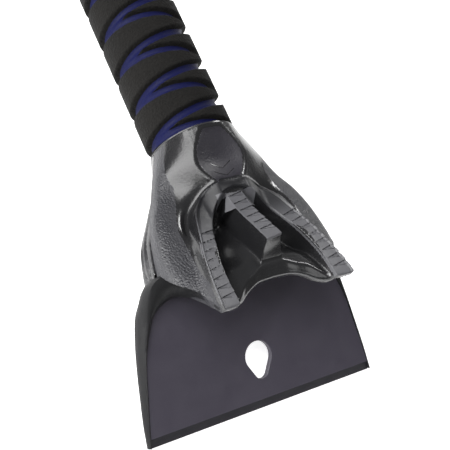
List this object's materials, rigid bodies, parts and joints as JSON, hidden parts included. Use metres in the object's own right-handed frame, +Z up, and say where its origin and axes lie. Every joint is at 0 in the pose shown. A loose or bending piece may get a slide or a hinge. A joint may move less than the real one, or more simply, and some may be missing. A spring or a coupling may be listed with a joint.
{
  "type": "windshield ice scraper",
  "caption": "Hand ice scraper with a flat blade, a toothed chipper head and a foam-covered tube handle.",
  "frame": {"origin": "on the surface that the tool lies on, below the middle of its overall box", "axes": "+Z up on the toothed side, +Y along the handle away from the blade, +X across the blade"},
  "size_m": [0.1104, 0.2962, 0.0562],
  "materials": {
    "blade": "satin",
    "frame_black": "satin",
    "shell_black": "gloss, with pebbled cheeks",
    "cradle_black": "semi-gloss",
    "crown_black": "gloss",
    "ring_black": "satin",
    "tube_alloy": "plain",
    "plug_grey": "matte",
    "foam_blue": "fine foam",
    "foam_black": "fine foam",
    "cap_black": "satin",
    "screw_steel": "zinc plated"
  },
  "bodies": {
    "root": {"blade": "blade", "blade_carrier": "frame_black", "head_upper_shell": "shell_black", "head_lower_shell": "cradle_black", "chipper_crown": "crown_black", "collar_ring": "ring_black", "handle_tube": "tube_alloy", "head_plug": "plug_grey", "tail_plug": "plug_grey", "grip_core_foam": "foam_blue", "grip_cover_foam": "foam_black", "end_cap": "cap_black", "end_cap_screw": "screw_steel", "blade_screws": "screw_steel", "shell_screws": "screw_steel", "neck_screws": "screw_steel"}
  },
  "joints": []
}
